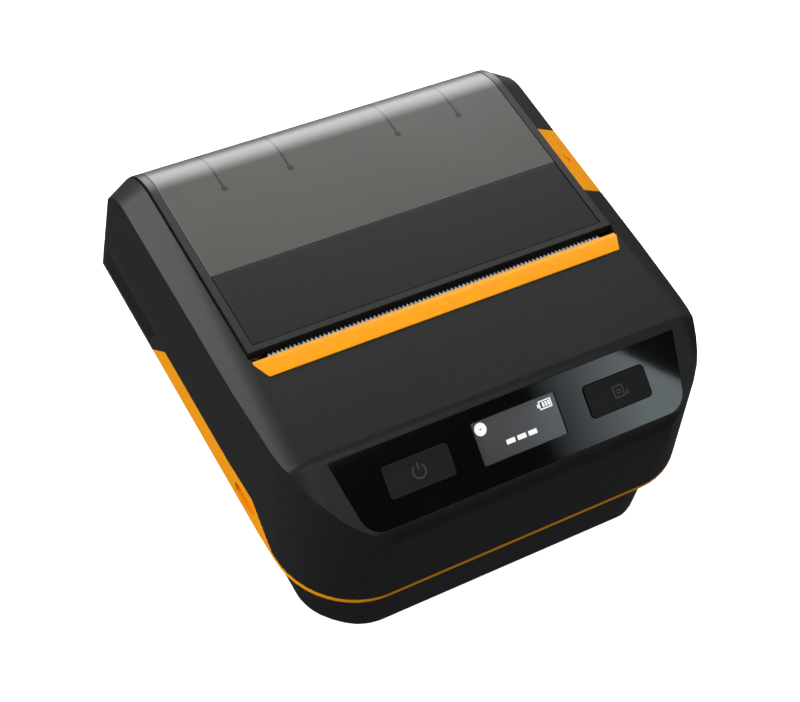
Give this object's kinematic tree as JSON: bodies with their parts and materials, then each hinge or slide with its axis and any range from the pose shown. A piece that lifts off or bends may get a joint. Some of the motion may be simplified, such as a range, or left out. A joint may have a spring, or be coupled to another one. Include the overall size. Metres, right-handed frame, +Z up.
{
  "type": "label printer",
  "caption": "Portable label printer with a hinged smoky lid over a paper roll bay, a serrated tear edge, a sloping control panel and side grip bands.",
  "frame": {"origin": "centre of the base, on the surface that the feet stand on", "axes": "+Z up, the control panel faces -Y, +X to the right of someone who faces the panel"},
  "size_m": [0.103, 0.106, 0.05],
  "materials": {
    "shell_black": "fine-textured moulded ABS",
    "base_black": "fine-textured moulded ABS",
    "accent_orange": "satin moulded ABS",
    "blade_steel": "stamped stainless strip",
    "lens_black": "polished acrylic, printed black behind",
    "display_gray": "display glass, unlit",
    "board_green": "coated glass-fibre circuit board",
    "switch_gray": "tactile switch body",
    "button_black": "satin moulded keycap",
    "spring_steel": "drawn spring wire",
    "lever_steel": "stamped steel",
    "window_smoke": "smoke-tinted polycarbonate",
    "cover_black": "satin black plastic",
    "pin_steel": "ground steel",
    "platen_rubber": "ground silicone rubber",
    "gear_ivory": "moulded acetal",
    "bush_plastic": "moulded acetal",
    "frame_steel": "stamped zinc-plated steel",
    "head_ceramic": "glazed ceramic",
    "heatsink_aluminium": "extruded aluminium",
    "motor_steel": "drawn steel can",
    "pinion_brass": "machined brass",
    "sensor_black": "moulded sensor body",
    "bay_black": "moulded ABS",
    "port_steel": "plated steel sleeve",
    "battery_sleeve": "shrink sleeve",
    "screw_steel": "blackened steel",
    "foot_rubber": "soft rubber"
  },
  "bodies": {
    "housing": {"upper_shell": "shell_black", "bottom_shell": "base_black", "side_band": "accent_orange", "tear_bezel": "accent_orange", "tear_blade": "blade_steel", "panel_lens": "lens_black", "display_module": "display_gray", "panel_board": "board_green", "panel_switches": "switch_gray", "release_spring": "spring_steel", "hinge_pin": "pin_steel", "lid_spring": "spring_steel", "mechanism_frame": "frame_steel", "printhead_springs": "spring_steel", "stepper_motor": "motor_steel", "gap_sensor": "sensor_black", "paper_bay": "bay_black", "main_board": "board_green", "charge_board": "board_green", "charge_port": "port_steel", "battery_pack": "battery_sleeve", "mechanism_screws": "screw_steel", "housing_screws": "screw_steel", "rubber_feet": "foot_rubber"},
    "lid": {"lid_frame": "shell_black", "lid_window": "window_smoke", "lid_cover_plate": "cover_black", "platen_bushes": "bush_plastic"},
    "platen": {"platen_roller": "platen_rubber", "platen_shaft": "pin_steel", "platen_gear": "gear_ivory"},
    "reduction": {"reduction_gear": "gear_ivory"},
    "rotor": {"motor_pinion": "pinion_brass"},
    "printhead": {"printhead_element": "head_ceramic", "printhead_heatsink": "heatsink_aluminium"},
    "power_key": {"power_button": "button_black"},
    "feed_key": {"feed_button": "button_black"},
    "release": {"release_button": "accent_orange"},
    "lock": {"lock_lever": "lever_steel"},
    "door": {"battery_door": "base_black"}
  },
  "joints": [
    {"name": "lid_hinge", "type": "hinge", "parent": "housing", "child": "lid", "pos_m": [0, 0.05, 0.023], "axis": [-1, 0, 0], "range_deg": [0, 88]},
    {"name": "platen_spin", "type": "hinge", "parent": "lid", "child": "platen", "pos_m": [0, -0.0006, 0.041], "axis": [1, 0, 0], "continuous": true},
    {"name": "reduction_spin", "type": "hinge", "parent": "housing", "child": "reduction", "pos_m": [-0.0458, -0.0038, 0.032], "axis": [1, 0, 0], "continuous": true},
    {"name": "pinion_spin", "type": "hinge", "parent": "housing", "child": "rotor", "pos_m": [-0.0458, -0.011, 0.02172], "axis": [1, 0, 0], "continuous": true},
    {"name": "printhead_pivot", "type": "hinge", "parent": "housing", "child": "printhead", "pos_m": [0, -0.0083, 0.034], "axis": [1, 0, 0], "range_deg": [0, 4], "stiffness_Nm_per_rad": 0.6, "springref_deg": -5.73, "deforming": ["printhead_springs"]},
    {"name": "power_press", "type": "slide", "parent": "housing", "child": "power_key", "axis": [0, 0.5225, -0.8526], "range_m": [0, 0.0005], "stiffness_N_per_m": 1500, "springref_m": -0.0005},
    {"name": "feed_press", "type": "slide", "parent": "housing", "child": "feed_key", "axis": [0, 0.5225, -0.8526], "range_m": [0, 0.0005], "stiffness_N_per_m": 1500, "springref_m": -0.0005},
    {"name": "release_press", "type": "slide", "parent": "housing", "child": "release", "axis": [0, 0, -1], "range_m": [0, 0.0015], "stiffness_N_per_m": 1500, "springref_m": -0.001, "deforming": ["release_spring"]},
    {"name": "lock_swing", "type": "hinge", "parent": "housing", "child": "lock", "pos_m": [0.0438, 0.0005, 0.033], "axis": [-1, 0, 0], "range_deg": [0, 12.75]},
    {"name": "door_removal", "type": "slide", "parent": "housing", "child": "door", "axis": [0, 0, -1], "range_m": [0, 0.02]}
  ],
  "couplings": [
    {"joint": "reduction_spin", "follows": "platen_spin", "ratio": -1.375},
    {"joint": "pinion_spin", "follows": "platen_spin", "ratio": 3.5357},
    {"joint": "lock_swing", "follows": "release_press", "rad_per_m": 147.8}
  ]
}
